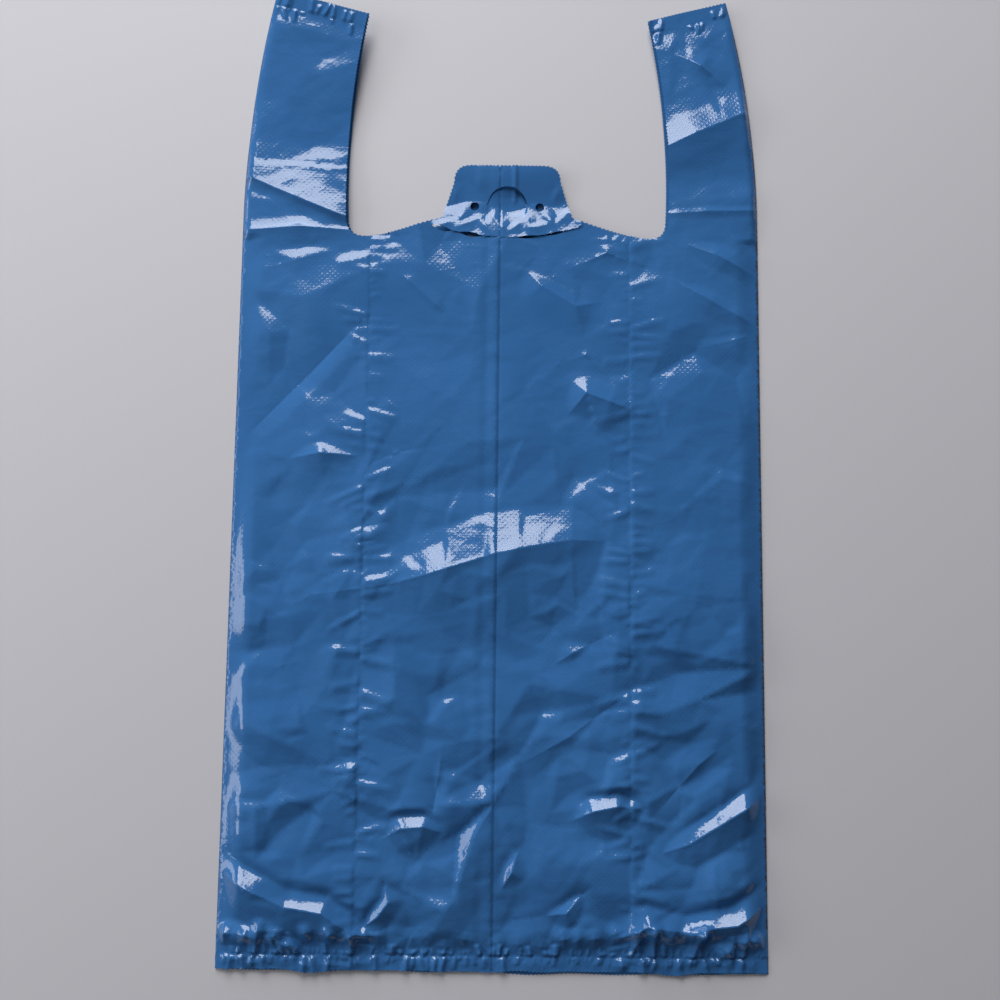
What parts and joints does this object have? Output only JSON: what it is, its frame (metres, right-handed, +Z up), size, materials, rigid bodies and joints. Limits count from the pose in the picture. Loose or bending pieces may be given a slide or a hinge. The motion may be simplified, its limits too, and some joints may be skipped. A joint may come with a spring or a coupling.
{
  "type": "plastic carrier bag",
  "caption": "Flat-folded vest-type carrier bag of thin embossed blue film, with loop handles, side gussets, a welded base and a tear-off hanging tab.",
  "frame": {"origin": "under the middle of the bag as it lies, on the surface that it lies on", "axes": "+Y along the bag from its bottom weld to its handles, +X across it, +Z up out of its front panel"},
  "size_m": [0.3, 0.5564, 0.0094],
  "materials": {
    "film": "thin glossy film, embossed with fine staggered dots"
  },
  "bodies": {
    "root": {"carrier_bag": "film"}
  },
  "joints": []
}
